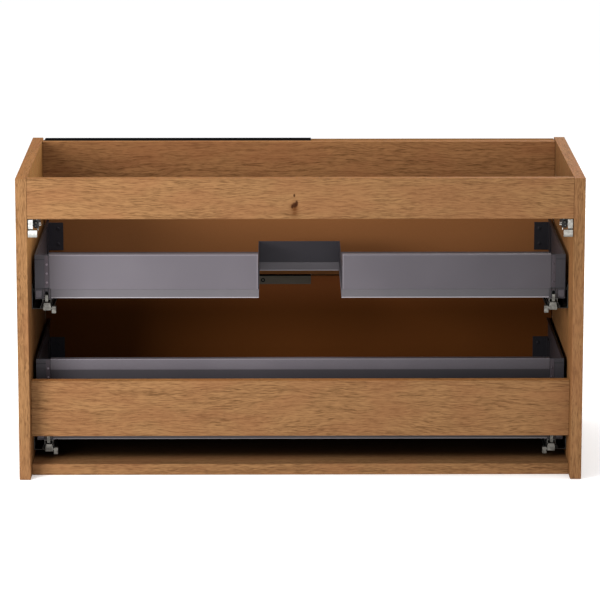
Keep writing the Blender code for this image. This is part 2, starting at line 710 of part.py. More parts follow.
clear_scene()
MATERIALS = {
    "oak": make_material("oak", (0.46, 0.27, 0.13), 0.55),
    "grey": make_material("drawer_grey", (0.20, 0.185, 0.20), 0.45, 0.3),
    "board": make_material("floor_board", (0.19, 0.175, 0.19), 0.60),
    "black": make_material("handle_black", (0.012, 0.012, 0.013), 0.45, 0.4),
    "steel": make_material("zinc_steel", (0.62, 0.62, 0.60), 0.35, 1.0),
    "plastic": make_material("hanger_plastic", (0.05, 0.05, 0.05), 0.60),
}
add_carcass(MATERIALS["oak"])
for side_name, side_sign in SIDES:
    add_hanger(side_name, side_sign, MATERIALS["steel"], MATERIALS["plastic"])
add_upper_drawer(MATERIALS)
add_lower_drawer(MATERIALS)
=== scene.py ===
"""Looks of a wall-hung bathroom vanity cabinet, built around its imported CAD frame.

Everything is in metres in the CAD frame: +Z up, fronts towards -Y, the wall at +Y.
"""

import json
import math

import bmesh
import bpy
from mathutils import Matrix, Vector


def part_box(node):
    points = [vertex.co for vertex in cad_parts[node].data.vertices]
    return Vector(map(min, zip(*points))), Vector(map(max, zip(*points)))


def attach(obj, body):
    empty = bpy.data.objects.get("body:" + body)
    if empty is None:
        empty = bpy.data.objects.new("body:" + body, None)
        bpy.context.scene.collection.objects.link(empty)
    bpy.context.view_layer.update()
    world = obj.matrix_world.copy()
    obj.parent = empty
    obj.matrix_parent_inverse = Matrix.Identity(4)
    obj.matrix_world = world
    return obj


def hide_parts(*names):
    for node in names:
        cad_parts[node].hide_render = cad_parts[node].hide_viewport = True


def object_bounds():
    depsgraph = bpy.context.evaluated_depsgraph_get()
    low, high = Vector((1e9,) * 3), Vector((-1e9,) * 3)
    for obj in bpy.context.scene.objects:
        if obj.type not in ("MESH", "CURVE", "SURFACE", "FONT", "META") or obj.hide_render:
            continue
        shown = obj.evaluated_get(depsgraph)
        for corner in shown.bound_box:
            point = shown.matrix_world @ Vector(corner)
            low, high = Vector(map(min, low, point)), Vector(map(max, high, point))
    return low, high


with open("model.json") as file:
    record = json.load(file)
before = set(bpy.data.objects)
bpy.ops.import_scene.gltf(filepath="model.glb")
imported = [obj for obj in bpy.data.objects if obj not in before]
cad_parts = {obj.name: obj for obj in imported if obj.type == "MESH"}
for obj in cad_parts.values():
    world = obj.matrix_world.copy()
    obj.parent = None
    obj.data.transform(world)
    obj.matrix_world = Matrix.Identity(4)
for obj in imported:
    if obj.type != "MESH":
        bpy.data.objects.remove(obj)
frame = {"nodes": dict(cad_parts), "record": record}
CAD_BOUNDS = [list(corner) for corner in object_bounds()]
RECORD = frame["record"]
NODES = frame["nodes"]
BODY_OF = {node: body for body, nodes in RECORD["behaviour"]["bodies"].items() for node in nodes}
SLOT_OF = {row["node"]: row["material_slot"] for row in RECORD["subparts"]}
SIDES = (("left", -1), ("right", 1))
LEVELS = ("upper", "lower")
REAR = CAD_BOUNDS[1][1]

# The part of a noise's range in which a surface's shine changes
SPREAD = (0.3, 0.7)

# Ranges of a normal's component over which a face counts as turned that way
BOARD_TURN = (0.5, 0.9)
BOARD_FACE = (0.7, 0.9)
BOARD_END = (0.6, 0.8)
FLAT_FACE = (0.8, 0.95)
SHEET_FACE = (0.4, 0.8)
SHEET_TOP = (0.3, 0.8)
FLANGE_FACE = (0.6, 0.9)


# Node graph helpers

class Graph:
    """A Principled material under construction."""

    def __init__(self, name):
        self.material = bpy.data.materials.new(name)
        self.material.use_nodes = True
        self.tree = self.material.node_tree
        self.shader = self.tree.nodes["Principled BSDF"]

    def node(self, kind, **settings):
        made = self.tree.nodes.new(kind)
        for key, value in settings.items():
            setattr(made, key, value)
        return made

    def put(self, socket, value):
        """Link an output to a socket, or set the socket's own value."""
        if isinstance(value, bpy.types.NodeSocket):
            self.tree.links.new(value, socket)
        else:
            socket.default_value = value

    def math(self, operation, first, second=0.0, third=0.0, clamp=False):
        made = self.node("ShaderNodeMath", operation=operation, use_clamp=clamp)
        for socket, value in zip(made.inputs, (first, second, third)):
            self.put(socket, value)
        return made.outputs[0]

    def combine(self, x, y, z):
        made = self.node("ShaderNodeCombineXYZ")
        for socket, value in zip(made.inputs, (x, y, z)):
            self.put(socket, value)
        return made.outputs[0]

    def split(self, vector):
        made = self.node("ShaderNodeSeparateXYZ")
        self.put(made.inputs[0], vector)
        return made.outputs

    def position(self):
        """Object coordinates, which are the CAD frame's metres."""
        return self.node("ShaderNodeTexCoord").outputs["Object"]

    def normal(self):
        return self.node("ShaderNodeTexCoord").outputs["Normal"]

    def noise(self, vector, scale=1.0, detail=2.0, roughness=0.5, distortion=0.0):
        made = self.node("ShaderNodeTexNoise")
        self.put(made.inputs["Vector"], vector)
        made.inputs["Scale"].default_value = scale
        made.inputs["Detail"].default_value = detail
        made.inputs["Roughness"].default_value = roughness
        made.inputs["Distortion"].default_value = distortion
        return made.outputs["Fac"]

    def ramp(self, value, low, high, start=0.0, end=1.0):
        """Smooth change from start to end as the value goes from low to high."""
        made = self.node("ShaderNodeMapRange", interpolation_type="SMOOTHSTEP")
        for key, amount in (("Value", value), ("From Min", low), ("From Max", high),
                            ("To Min", start), ("To Max", end)):
            self.put(made.inputs[key], amount)
        return made.outputs["Result"]

    def mix(self, factor, first, second, blend="MIX"):
        made = self.node("ShaderNodeMix", data_type="RGBA", blend_type=blend)
        self.put(made.inputs["Factor"], factor)
        colours = [socket for socket in made.inputs if socket.type == "RGBA"]
        self.put(colours[0], first)
        self.put(colours[1], second)
        return [socket for socket in made.outputs if socket.type == "RGBA"][0]

    def dim(self, factor, colour):
        """A colour scaled by a factor from 0 to 1."""
        return self.mix(factor, (0.0, 0.0, 0.0, 1.0), colour)

    def spot(self, centre, half):
        """Squared distance from a point of a board's face, in units of an ellipse's half axes."""
        x, _, z = self.split(self.position())
        dx = self.math("DIVIDE", self.math("SUBTRACT", x, centre[0]), half[0])
        dz = self.math("DIVIDE", self.math("SUBTRACT", z, centre[1]), half[1])
        return self.math("ADD", self.math("MULTIPLY", dx, dx), self.math("MULTIPLY", dz, dz))

    def bump(self, height, distance, strength=1.0):
        made = self.node("ShaderNodeBump")
        self.put(made.inputs["Height"], height)
        made.inputs["Distance"].default_value = distance
        made.inputs["Strength"].default_value = strength
        return made.outputs["Normal"]

    def finish(self, **inputs):
        for key, value in inputs.items():
            self.put(self.shader.inputs[key.replace("_", " ")], value)
        return self.material


def rgb(red, green, blue):
    """A linear colour from 0-255 display values."""
    channels = [value / 255 for value in (red, green, blue)]
    linear = [c / 12.92 if c <= 0.04045 else ((c + 0.055) / 1.055) ** 2.4 for c in channels]
    return (*linear, 1.0)


# Oak laminate: colours

OAK_LIGHT = rgb(135, 99, 65)
OAK_DARK = rgb(88, 60, 36)
OAK_ROSE = rgb(124, 82, 54)
OAK_PORE = rgb(72, 46, 28)
OAK_KNOT = rgb(44, 20, 8)
OAK_KNOT_RIM = rgb(78, 44, 19)
NO_TINT = (1.0, 1.0, 1.0, 1.0)
# Painted light: this tint lightens and warms the upward faces of the boards' edges
TOP_LIGHT_TINT = (1.30, 1.14, 0.90, 1.0)
FAR_RAIL_TINT = (1.10, 0.99, 0.92, 1.0)
SIDE_TINT = (0.95, 0.88, 0.77, 1.0)
# Painted light: a paler tint on a side panel's inward face between two heights
SIDE_LIGHT_TINT = (1.95, 1.88, 1.42, 1.0)
# The lower front's melamine is darker than the upper front's: painted shade on the same melamine
UPPER_MELAMINE = (rgb(134, 87, 51), rgb(142, 93, 56))
LOWER_MELAMINE_SHADED = (rgb(89, 49, 20), rgb(97, 55, 24))
ROSE_SHARE = 0.38
PORE_SHARE = 0.50
FLECK_SHARE = 0.22
GLUE_LINE_SHARE = 0.55

# Oak laminate: length and width of each layer of the grain, and its part in the tone
SWING_SIZE = (0.26, 0.080)
RIPPLE_SIZE = (0.062, 0.022)
RING_SIZE = (0.19, 0.0080)
LINE_SIZE = (0.060, 0.0025)
BROAD_SIZE = (0.30, 0.045)
DRIFT_SIZE = (0.11, 0.045)
DASH_SIZE = (0.016, 0.00098)
FIBRE_SIZE = (0.012, 0.0008)
PORE_SIZE = (0.011, 0.00090)
FLECK_SIZE = (0.009, 0.0040)
SWING_REACH = 0.030
RIPPLE_REACH = 0.0090
RING_WEIGHT = 0.12
LINE_WEIGHT = 0.25
BROAD_WEIGHT = 0.11
DASH_WEIGHT = 0.52
FIBRE_WEIGHT = 0.10

# Oak laminate: the part of each layer's range over which it comes in
TONE_RANGE = (0.37, 0.65)
DRIFT_RANGE = (0.40, 0.66)
PORE_RANGE = (0.58, 0.72)
PORE_RING_RANGE = (0.40, 0.58)
PORE_RING_SHARE = 0.35               # pores that are left on the pale side of a ring
FLECK_RANGE = (0.58, 0.72)
FLECK_DISTORTION = 0.6
TONE_RELIEF = 0.35

# A knot: each ellipse has an offset from the knot's centre and half axes, and how sharply it fades
KNOT_BEND = (0.016, 0.017)
KNOT_BEND_REACH = 0.0045
KNOT_BEND_SLOPE = 160.0
KNOT_PALE = ((0.0, 0.015), (0.022, 0.008), 1.0)
KNOT_TAIL = ((0.0005, -0.0100), (0.0075, 0.0150), 1.3)
KNOT_CORES = (((0.0006, -0.0010), (0.0040, 0.0052), 1.1), ((-0.0030, 0.0022), (0.0028, 0.0062), 1.1),
              ((0.0048, -0.0034), (0.0022, 0.0044), 1.1), ((0.0012, 0.0165), (0.0019, 0.0034), 1.1))
KNOT_PALE_SHARE = 0.5
KNOT_TAIL_RAMP = (0.3, 0.6, 0.60, 0.95)  # range of the streaks, and the tail's share at its ends
KNOT_CORE_RAMP = (0.15, 0.75, 0.0, 0.88)

# Where each board is cut from the grain: offsets along, across and through it
GRAIN_SHIFTS = {"side_panel_left": (0.37, 0.11, 0.53), "side_panel_right": (1.91, 0.47, 0.29),
                "rear_top_rail": (0.13, 0.71, 0.0), "rear_lower_rail": (2.41, 0.33, 0.2),
                "front_top_rail": (5.07, 0.92, 0.4), "bottom_panel": (3.62, 0.58, 0.7),
                "upper_front": (7.3, 0.21, 0.1), "lower_front": (9.8, 0.64, 0.3)}

# Edge bands, melamine, where a board's own tone changes, and painted light and shade on some boards
BAND_THICKNESS = 0.0010
GLUE_LINE_HALF = 0.00022
BOARD_RELIEF = 0.00012
BOARD_BUMP = 0.6
BOARD_SHINE = (-0.6, 0.3, 0.78, 0.62)    # range of the relief, and the roughness at its ends
PAPER_SCALE = 900
PAPER_CLOUD_SCALE = 5
PAPER_WEIGHTS = (0.75, 0.25)
PAPER_RANGE = (0.36, 0.66)
PAPER_RELIEF = 0.25
# Painted light on a side panel's inward face between these heights
SIDE_LIGHT_HEIGHTS = (0.37, 0.43)
# Painted shade on the bottom panel's top, darker away from the wall between these depths
BOTTOM_SHADE_DEPTHS = (0.092, 0.014)
BOTTOM_SHADE_SHARE = 0.86
# Painted light on a front's melamine towards its top edge
FRONT_LIGHT_DEPTH = 0.075
FRONT_LIGHT_FACTOR = 2.4
FRONT_LIGHT_BLUE = 1.3
KNOT_X = 0.0099
KNOT_HEIGHT_SHARE = 0.355


def grain_frame(g, grain, shift):
    """Coordinates (along, across, through) of the grain, with one offset per board."""
    x, y, z = g.split(g.position())
    if grain == "X":
        parts = (x, z, y)
    else:
        # A side panel: upright grain on its faces, and along Y on its top and bottom edges.
        end = g.ramp(g.math("ABSOLUTE", g.split(g.normal())[2]), *BOARD_END)
        along = g.math("ADD", g.math("MULTIPLY", z, g.math("SUBTRACT", 1.0, end)),
                       g.math("MULTIPLY", y, end))
        across = g.math("ADD", g.math("MULTIPLY", y, g.math("SUBTRACT", 1.0, end)),
                        g.math("MULTIPLY", x, end))
        parts = (along, across, x)
    return [g.math("ADD", part, offset) for part, offset in zip(parts, shift)]


def bend_round(g, across, knot):
    """Push the grain apart above and below a knot."""
    near = g.math("EXPONENT", g.math("MULTIPLY", g.spot(knot, KNOT_BEND), -1.0))
    height = g.math("SUBTRACT", g.split(g.position())[2], knot[1])
    steep = g.math("MULTIPLY", height, KNOT_BEND_SLOPE)
    side = g.math("MAXIMUM", g.math("MINIMUM", steep, 1.0), -1.0)
    push = g.math("MULTIPLY", g.math("MULTIPLY", near, side), KNOT_BEND_REACH)
    return g.math("SUBTRACT", across, push)


def draw_knot(g, colour, knot, streaks):
    """A small dark knot with a brown tail below it and paler wood above it."""
    def blot(offset, half, sharpness):
        place = (knot[0] + offset[0], knot[1] + offset[1])
        return g.math("EXPONENT", g.math("MULTIPLY", g.spot(place, half), -sharpness))

    colour = g.mix(g.math("MULTIPLY", blot(*KNOT_PALE), KNOT_PALE_SHARE), colour, OAK_LIGHT)
    tail = g.math("MULTIPLY", blot(*KNOT_TAIL), g.ramp(streaks, *KNOT_TAIL_RAMP))
    colour = g.mix(tail, colour, OAK_KNOT_RIM)
    for core in KNOT_CORES:
        colour = g.mix(g.ramp(blot(*core), *KNOT_CORE_RAMP), colour, OAK_KNOT)
    return colour


def oak_colour(g, grain, shift, knots=()):
    """Colour and relief of oak laminate: fine wavy lines, short pores and a slight hue drift."""
    along, across, through = grain_frame(g, grain, shift)

    def layer(size, detail, sideways=across, distortion=0.0):
        length, width = size
        place = g.combine(g.math("DIVIDE", along, length), g.math("DIVIDE", sideways, width),
                          g.math("DIVIDE", through, width))
        return g.noise(place, detail=detail, distortion=distortion)

    swing = g.math("SUBTRACT", layer(SWING_SIZE, 1), 0.5)
    ripple = g.math("SUBTRACT", layer(RIPPLE_SIZE, 2), 0.5)
    bent = g.math("ADD", across, g.math("MULTIPLY", swing, SWING_REACH))
    bent = g.math("ADD", bent, g.math("MULTIPLY", ripple, RIPPLE_REACH))
    for knot in knots:
        bent = bend_round(g, bent, knot)
    rings = layer(RING_SIZE, 2, bent)
    lines = layer(LINE_SIZE, 1, bent)
    drift = layer(DRIFT_SIZE, 2)
    pores = layer(PORE_SIZE, 1, bent)
    flecks = layer(FLECK_SIZE, 2, distortion=FLECK_DISTORTION)

    tone = g.math("ADD", g.math("MULTIPLY", rings, RING_WEIGHT), g.math("MULTIPLY", lines, LINE_WEIGHT))
    for size, detail, weight in ((BROAD_SIZE, 2, BROAD_WEIGHT), (DASH_SIZE, 1, DASH_WEIGHT),
                                 (FIBRE_SIZE, 2, FIBRE_WEIGHT)):
        tone = g.math("ADD", tone, g.math("MULTIPLY", layer(size, detail, bent), weight))
    colour = g.mix(g.ramp(tone, *TONE_RANGE), OAK_DARK, OAK_LIGHT)
    colour = g.mix(g.ramp(drift, *DRIFT_RANGE, 0.0, ROSE_SHARE), colour, OAK_ROSE)
    pore = g.math("MULTIPLY", g.ramp(pores, *PORE_RANGE),
                  g.ramp(rings, *PORE_RING_RANGE, 1.0, PORE_RING_SHARE))
    colour = g.mix(g.math("MULTIPLY", pore, PORE_SHARE), colour, OAK_PORE)
    colour = g.mix(g.ramp(flecks, *FLECK_RANGE, 0.0, FLECK_SHARE), colour, OAK_LIGHT)
    for knot in knots:
        colour = draw_knot(g, colour, knot, lines)
    relief = g.math("SUBTRACT", g.math("MULTIPLY", tone, TONE_RELIEF), pore)
    return colour, relief


def band_line(g, node):
    """1 on the glue line that an edge band leaves along a board's large faces."""
    low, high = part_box(node)
    size = [h - l for l, h in zip(low, high)]
    thin = size.index(min(size))
    parts = g.split(g.position())
    line = None
    for axis in range(3):
        if axis == thin:
            continue
        for limit in (low[axis], high[axis]):
            gap = g.math("ABSOLUTE", g.math("SUBTRACT", parts[axis], limit))
            away = g.math("ABSOLUTE", g.math("SUBTRACT", gap, BAND_THICKNESS))
            near = g.ramp(away, 0.0, GLUE_LINE_HALF, 1.0, 0.0)
            line = near if line is None else g.math("MAXIMUM", line, near)
    facing = g.math("ABSOLUTE", g.split(g.normal())[thin])
    return g.math("MULTIPLY", line, g.ramp(facing, *FLAT_FACE))


def edge_banded(g, node, colour, painted_top_light):
    """A board's colour with its glue lines, and with a tint of painted light on its top edge."""
    colour = g.mix(g.math("MULTIPLY", band_line(g, node), GLUE_LINE_SHARE), colour, OAK_PORE)
    # Painted light on the upward faces
    upward = g.ramp(g.split(g.normal())[2], *BOARD_TURN)
    return g.mix(upward, colour, g.mix(1.0, colour, painted_top_light, "MULTIPLY"))


def oak_board(node, grain, knots=(), tint=None, paler=None, painted_shade=None):
    """Oak laminate for one board.

    Its large faces can have a tint, which on the face that looks towards -X can turn to a paler
    one between two heights, as painted light. Its top can darken away from the wall between two
    Y values, as painted shade."""
    g = Graph("oak_" + node)
    colour, relief = oak_colour(g, grain, GRAIN_SHIFTS[node], knots)
    if tint:
        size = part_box(node)[1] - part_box(node)[0]
        facing = g.math("ABSOLUTE", g.split(g.normal())[list(size).index(min(size))])
        if paler:
            # Painted light: the inward face turns to a paler tint between two heights
            inward = g.ramp(g.split(g.normal())[0], -BOARD_FACE[1], -BOARD_FACE[0], 1.0, 0.0)
            pale = g.math("MULTIPLY", inward, g.ramp(g.split(g.position())[2], *paler))
            tint = g.mix(pale, tint, SIDE_LIGHT_TINT)
        colour = g.mix(g.ramp(facing, *BOARD_FACE), colour, g.mix(1.0, colour, tint, "MULTIPLY"))
    if painted_shade:
        # Painted shade: the top darkens away from the wall
        upward = g.ramp(g.split(g.normal())[2], *BOARD_TURN)
        inside = g.ramp(g.split(g.position())[1], *painted_shade, BOTTOM_SHADE_SHARE, 0.0)
        dark = g.math("MULTIPLY", upward, inside)
        colour = g.dim(g.math("SUBTRACT", 1.0, dark), colour)
    else:
        colour = edge_banded(g, node, colour, TOP_LIGHT_TINT)
    return g.finish(Base_Color=colour, Roughness=g.ramp(relief, *BOARD_SHINE),
                    Specular_IOR_Level=0.02, Normal=g.bump(relief, BOARD_RELIEF, BOARD_BUMP))


def front_board(node, backing, pale=1.0):
    """Oak outside and on the edges, and plain brown melamine on the inner face.

    The melamine can be paler, by a factor, towards its top edge, as painted light."""
    g = Graph("oak_" + node)
    colour, relief = oak_colour(g, "X", GRAIN_SHIFTS[node])
    colour = edge_banded(g, node, colour, NO_TINT)
    paper = g.noise(g.position(), scale=PAPER_SCALE, detail=3, roughness=0.6)
    cloud = g.noise(g.position(), scale=PAPER_CLOUD_SCALE, detail=1)
    shade = g.math("ADD", g.math("MULTIPLY", paper, PAPER_WEIGHTS[0]),
                   g.math("MULTIPLY", cloud, PAPER_WEIGHTS[1]))
    melamine = g.mix(g.ramp(shade, *PAPER_RANGE), *backing)
    if pale > 1.0:
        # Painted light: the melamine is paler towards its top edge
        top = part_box(node)[1].z
        upper = g.ramp(g.split(g.position())[2], top - FRONT_LIGHT_DEPTH, top)
        tint = (pale, pale, pale * FRONT_LIGHT_BLUE, 1.0)
        melamine = g.mix(upper, melamine, g.mix(1.0, melamine, tint, "MULTIPLY"))
    inner = g.ramp(g.split(g.normal())[1], *BOARD_TURN)
    colour = g.mix(inner, colour, melamine)
    height = g.math("ADD", g.math("MULTIPLY", relief, g.math("SUBTRACT", 1.0, inner)),
                    g.math("MULTIPLY", paper, g.math("MULTIPLY", inner, PAPER_RELIEF)))
    return g.finish(Base_Color=colour, Roughness=g.ramp(shade, *SPREAD, 0.66, 0.56),
                    Specular_IOR_Level=0.0, Normal=g.bump(height, BOARD_RELIEF, BOARD_BUMP))


# Metals, coatings and plastics: noise scales, relief depths, and where the grey metal changes tone,
# much of it as painted light and shade

CLOUD_SCALE = 7
SPECK_SCALE = 4200
PEEL_SCALE = 1500
ZINC_CLOUD_SCALE = 120
HOOK_CLOUD_SCALE = 160
HOOK_GRAIN_SCALE = 1400
ANODISED_CLOUD_SCALE = 30
SCREW_GRAIN_SCALE = 1800
SPARK_SCALE = 2300
PLASTIC_CLOUD_SCALE = 60
LAMINATE_LINES = (18, 1100)     # along and across the lines, as are the next two
ROLLED_LINES = (30, 1900)
BRUSHED_LINES = (14, 2600)
PEEL_RELIEF = 0.00005
COAT_RANGE = (0.34, 0.68)       # part of a noise's range over which a tone changes, as are
LAMINATE_RANGE = (0.35, 0.68)   # the next five
ZINC_RANGE = (0.34, 0.66)
BRUSHED_RANGE = (0.35, 0.7)
SCREW_RANGE = (0.35, 0.65)
SPECK_RANGE = (0.60, 0.72)
SPECK_SHARE = 0.15
LAMINATE_WEIGHTS = (0.5, 0.5)   # of the fine lines and of the clouds, as is the next
ZINC_WEIGHTS = (0.4, 0.6)
# Painted shade: grey surfaces darken towards the cabinet's left over this X range
SHADE_FALL_X = (-0.48, 0.10)       # X over which grey surfaces gain their full tone
SHADE_FALL_TONE = 0.57
# Painted shade: a drawer side darkens towards the front over this Y range
SIDE_SHADE_Y = (-0.20, 0.14)     # Y over which a drawer side gains its full tone
SIDE_SHADE_TONE = 0.62
HEM_THICKNESS = 0.002
# Painted shade on the upward faces of a drawer side's hem
HEM_SHADE_SHARE = 0.75
SPECK_COLOUR = rgb(150, 146, 152)
# Painted highlights: on the edges of rear walls, and on a drawer floor's lower rear lip
EDGE_HIGHLIGHT_COLOUR = rgb(176, 168, 176)
LIP_HIGHLIGHT_COLOUR = rgb(176, 170, 174)
EDGE_HIGHLIGHT_SHARE = 0.22
SEAM_SHARE = 0.6
# Painted shadow on a rear wall below a given height
SHADOW_SHARE = 0.62
SHADOW_BLUR = 0.0012
# Painted shade: a drawer floor darkens towards the rear wall behind these depths
BACK_SHADE_Y = (-0.112, -0.106)  # a drawer floor is duller behind these depths
BACK_SHADE_TONE = 0.82
# Painted highlight along a drawer floor's lower rear edge
LIP_HIGHLIGHT_HEIGHTS = (0.0012, 0.0020)
LIP_HIGHLIGHT_SHARE = 0.5
# Painted shade on a hook below its neck and in the neck's groove
TIP_SHADE_DEPTHS = (0.0125, 0.0060)     # below the hook's neck
TIP_SHADE_TONE = 0.60
NECK_BLUR = (0.0001, 0.0002)
NECK_SHADE_TONE = 0.12
SHOULDER_BLUR = (0.0006, 0.0002)        # below and above a handle's shoulder
GREY_LAMINATE = (rgb(87, 83, 88), rgb(95, 90, 95))
BLACK_ANODISED = (rgb(8, 8, 9), rgb(20, 20, 21))
# Painted reflection on the rearward face of a handle's flange
FLANGE_REFLECTION = (rgb(96, 89, 79), rgb(114, 107, 96))
BLACK_STEEL = (rgb(9, 9, 9), rgb(19, 18, 18))
# Painted glint in a handle screw's recess
GLINT_STEEL = rgb(176, 168, 150)
GLINT_RADIUS = 0.0011
FINE_RELIEF = 0.00003
BRUSHED_RELIEF = 0.00004
GRAINED_RELIEF = 0.00008


def powder_coat(name, dark, light, roughness=0.42, shadow=None, bright=(), seams=(), hem=None):
    """Satin powder coat on steel, with a fine orange-peel surface.

    It has painted shade that darkens it gently towards the cabinet's left, and a painted shadow below
    a height where a shadow is given. Painted highlights on edges and dark seams are (axis, coordinate,
    half width) bands on rearward faces. A drawer side has a hem, a height from which its upward faces
    are dark with painted shade, and painted shade darkens it towards the front."""
    g = Graph(name)
    place = g.position()
    parts = g.split(place)
    peel = g.noise(place, scale=PEEL_SCALE, detail=2)
    cloud = g.noise(place, scale=CLOUD_SCALE, detail=2)
    speck = g.noise(place, scale=SPECK_SCALE, detail=1)
    colour = g.mix(g.ramp(cloud, *COAT_RANGE), dark, light)
    colour = g.mix(g.ramp(speck, *SPECK_RANGE, 0.0, SPECK_SHARE), colour, SPECK_COLOUR)
    rearward = g.ramp(g.split(g.normal())[1], *SHEET_FACE)

    def band(axis, centre, half, share):
        away = g.math("ABSOLUTE", g.math("SUBTRACT", parts[axis], centre))
        return g.math("MULTIPLY", rearward, g.ramp(away, half * 0.6, half, share, 0.0))

    # Painted highlights along the given edges
    for edge in bright:
        colour = g.mix(band(*edge, EDGE_HIGHLIGHT_SHARE), colour, EDGE_HIGHLIGHT_COLOUR)
    for seam in seams:
        colour = g.dim(g.math("SUBTRACT", 1.0, band(*seam, SEAM_SHARE)), colour)
    # Painted shade towards the cabinet's left
    colour = g.dim(g.ramp(parts[0], *SHADE_FALL_X, SHADE_FALL_TONE, 1.0), colour)
    if hem is not None:
        # Painted shade on the hem's upward faces, and towards the front
        upward = g.ramp(g.split(g.normal())[2], *SHEET_TOP)
        upward = g.math("MULTIPLY", upward, g.ramp(parts[2], hem - HEM_THICKNESS, hem))
        colour = g.dim(g.math("SUBTRACT", 1.0, g.math("MULTIPLY", upward, HEM_SHADE_SHARE)), colour)
        colour = g.dim(g.ramp(parts[1], *SIDE_SHADE_Y, SIDE_SHADE_TONE, 1.0), colour)
    if shadow is not None:
        # Painted shadow below the given height
        below = g.ramp(parts[2], shadow - SHADOW_BLUR, shadow + SHADOW_BLUR, SHADOW_SHARE, 0.0)
        colour = g.dim(g.math("SUBTRACT", 1.0, g.math("MULTIPLY", rearward, below)), colour)
    shine = g.ramp(peel, *SPREAD, roughness - 0.04, roughness + 0.05)
    return g.finish(Base_Color=colour, Metallic=0.15, Roughness=shine, Specular_IOR_Level=0.3,
                    Normal=g.bump(peel, PEEL_RELIEF, 0.4))


def grey_board(name, underside):
    """Matt grey laminate on chipboard, with a painted highlight along the lower rear edge."""
    g = Graph(name)
    x, y, z = g.split(g.position())
    stretched = g.combine(g.math("MULTIPLY", x, LAMINATE_LINES[0]),
                          g.math("MULTIPLY", y, LAMINATE_LINES[1]), z)
    line = g.noise(stretched, detail=3)
    cloud = g.noise(g.position(), scale=CLOUD_SCALE, detail=2)
    shade = g.math("ADD", g.math("MULTIPLY", line, LAMINATE_WEIGHTS[0]),
                   g.math("MULTIPLY", cloud, LAMINATE_WEIGHTS[1]))
    colour = g.mix(g.ramp(shade, *LAMINATE_RANGE), *GREY_LAMINATE)
    # Painted shade towards the cabinet's left
    colour = g.dim(g.ramp(x, *SHADE_FALL_X, SHADE_FALL_TONE, 1.0), colour)
    # Painted shade towards the drawer's rear wall
    colour = g.dim(g.ramp(y, *BACK_SHADE_Y, 1.0, BACK_SHADE_TONE), colour)
    # Painted highlight along the lower rear edge
    above = g.math("SUBTRACT", z, underside)
    lip = g.math("MULTIPLY", g.ramp(above, *LIP_HIGHLIGHT_HEIGHTS, LIP_HIGHLIGHT_SHARE, 0.0),
                 g.ramp(g.split(g.normal())[1], *SHEET_FACE))
    colour = g.mix(lip, colour, LIP_HIGHLIGHT_COLOUR)
    return g.finish(Base_Color=colour, Roughness=g.ramp(shade, *SPREAD, 0.55, 0.68),
                    Normal=g.bump(line, GRAINED_RELIEF, 0.5))


def zinc(name, dark, light, roughness=0.34):
    """Zinc-plated steel with rolling lines along Y and a cloudy passivation."""
    g = Graph(name)
    x, y, z = g.split(g.position())
    along, across = ROLLED_LINES
    rolled = g.combine(g.math("MULTIPLY", x, across), g.math("MULTIPLY", y, along),
                       g.math("MULTIPLY", z, across))
    lines = g.noise(rolled, detail=2)
    cloud = g.noise(g.position(), scale=ZINC_CLOUD_SCALE, detail=3)
    shade = g.math("ADD", g.math("MULTIPLY", lines, ZINC_WEIGHTS[0]),
                   g.math("MULTIPLY", cloud, ZINC_WEIGHTS[1]))
    colour = g.mix(g.ramp(shade, *ZINC_RANGE), dark, light)
    return g.finish(Base_Color=colour, Metallic=0.85,
                    Roughness=g.ramp(shade, *SPREAD, roughness + 0.08, roughness - 0.08),
                    Normal=g.bump(lines, FINE_RELIEF, 0.5))


def hook_zinc(name, groove, dark, light):
    """Bright zinc, darker between two heights where the hook is necked and near its tip, both as
    painted shade.
    """
    g = Graph(name)
    z = g.split(g.position())[2]
    cloud = g.noise(g.position(), scale=HOOK_CLOUD_SCALE, detail=3)
    grain = g.noise(g.position(), scale=HOOK_GRAIN_SCALE, detail=2)
    colour = g.mix(g.ramp(cloud, *ZINC_RANGE), dark, light)
    # Painted shade near the tip
    shade = [groove[0] - depth for depth in TIP_SHADE_DEPTHS]
    colour = g.dim(g.ramp(z, *shade, TIP_SHADE_TONE, 1.0), colour)
    # Painted shade in the neck's groove
    middle = sum(groove) / 2
    half = middle - groove[0]
    away = g.math("ABSOLUTE", g.math("SUBTRACT", z, middle))
    neck = g.ramp(away, half - NECK_BLUR[0], half + NECK_BLUR[1], NECK_SHADE_TONE, 1.0)
    colour = g.dim(neck, colour)
    return g.finish(Base_Color=colour, Metallic=0.6, Roughness=g.ramp(grain, *SPREAD, 0.42, 0.30),
                    Normal=g.bump(grain, FINE_RELIEF, 0.5))


def anodised_black(name, shoulder):
    """Black anodised aluminium, brushed along X.

    Below the shoulder height, the face that looks to the rear is dark grey, a painted reflection."""
    g = Graph(name)
    x, y, z = g.split(g.position())
    along, across = BRUSHED_LINES
    stretched = g.combine(g.math("MULTIPLY", x, along), g.math("MULTIPLY", y, across),
                          g.math("MULTIPLY", z, across))
    brush = g.noise(stretched, detail=2)
    cloud = g.noise(g.position(), scale=ANODISED_CLOUD_SCALE, detail=2)
    colour = g.mix(g.ramp(brush, *BRUSHED_RANGE), *BLACK_ANODISED)
    # Painted reflection on the rearward flange face
    painted_reflection = g.mix(g.ramp(brush, *BRUSHED_RANGE), *FLANGE_REFLECTION)
    edge = (shoulder - SHOULDER_BLUR[0], shoulder + SHOULDER_BLUR[1])
    rearward = g.math("MULTIPLY", g.ramp(g.split(g.normal())[1], *FLANGE_FACE),
                      g.ramp(z, *edge, 1.0, 0.0))
    colour = g.mix(rearward, colour, painted_reflection)
    return g.finish(Base_Color=colour, Metallic=0.0, Specular_IOR_Level=0.0,
                    Roughness=g.ramp(cloud, *SPREAD, 0.50, 0.62),
                    Normal=g.bump(brush, BRUSHED_RELIEF, 0.4))


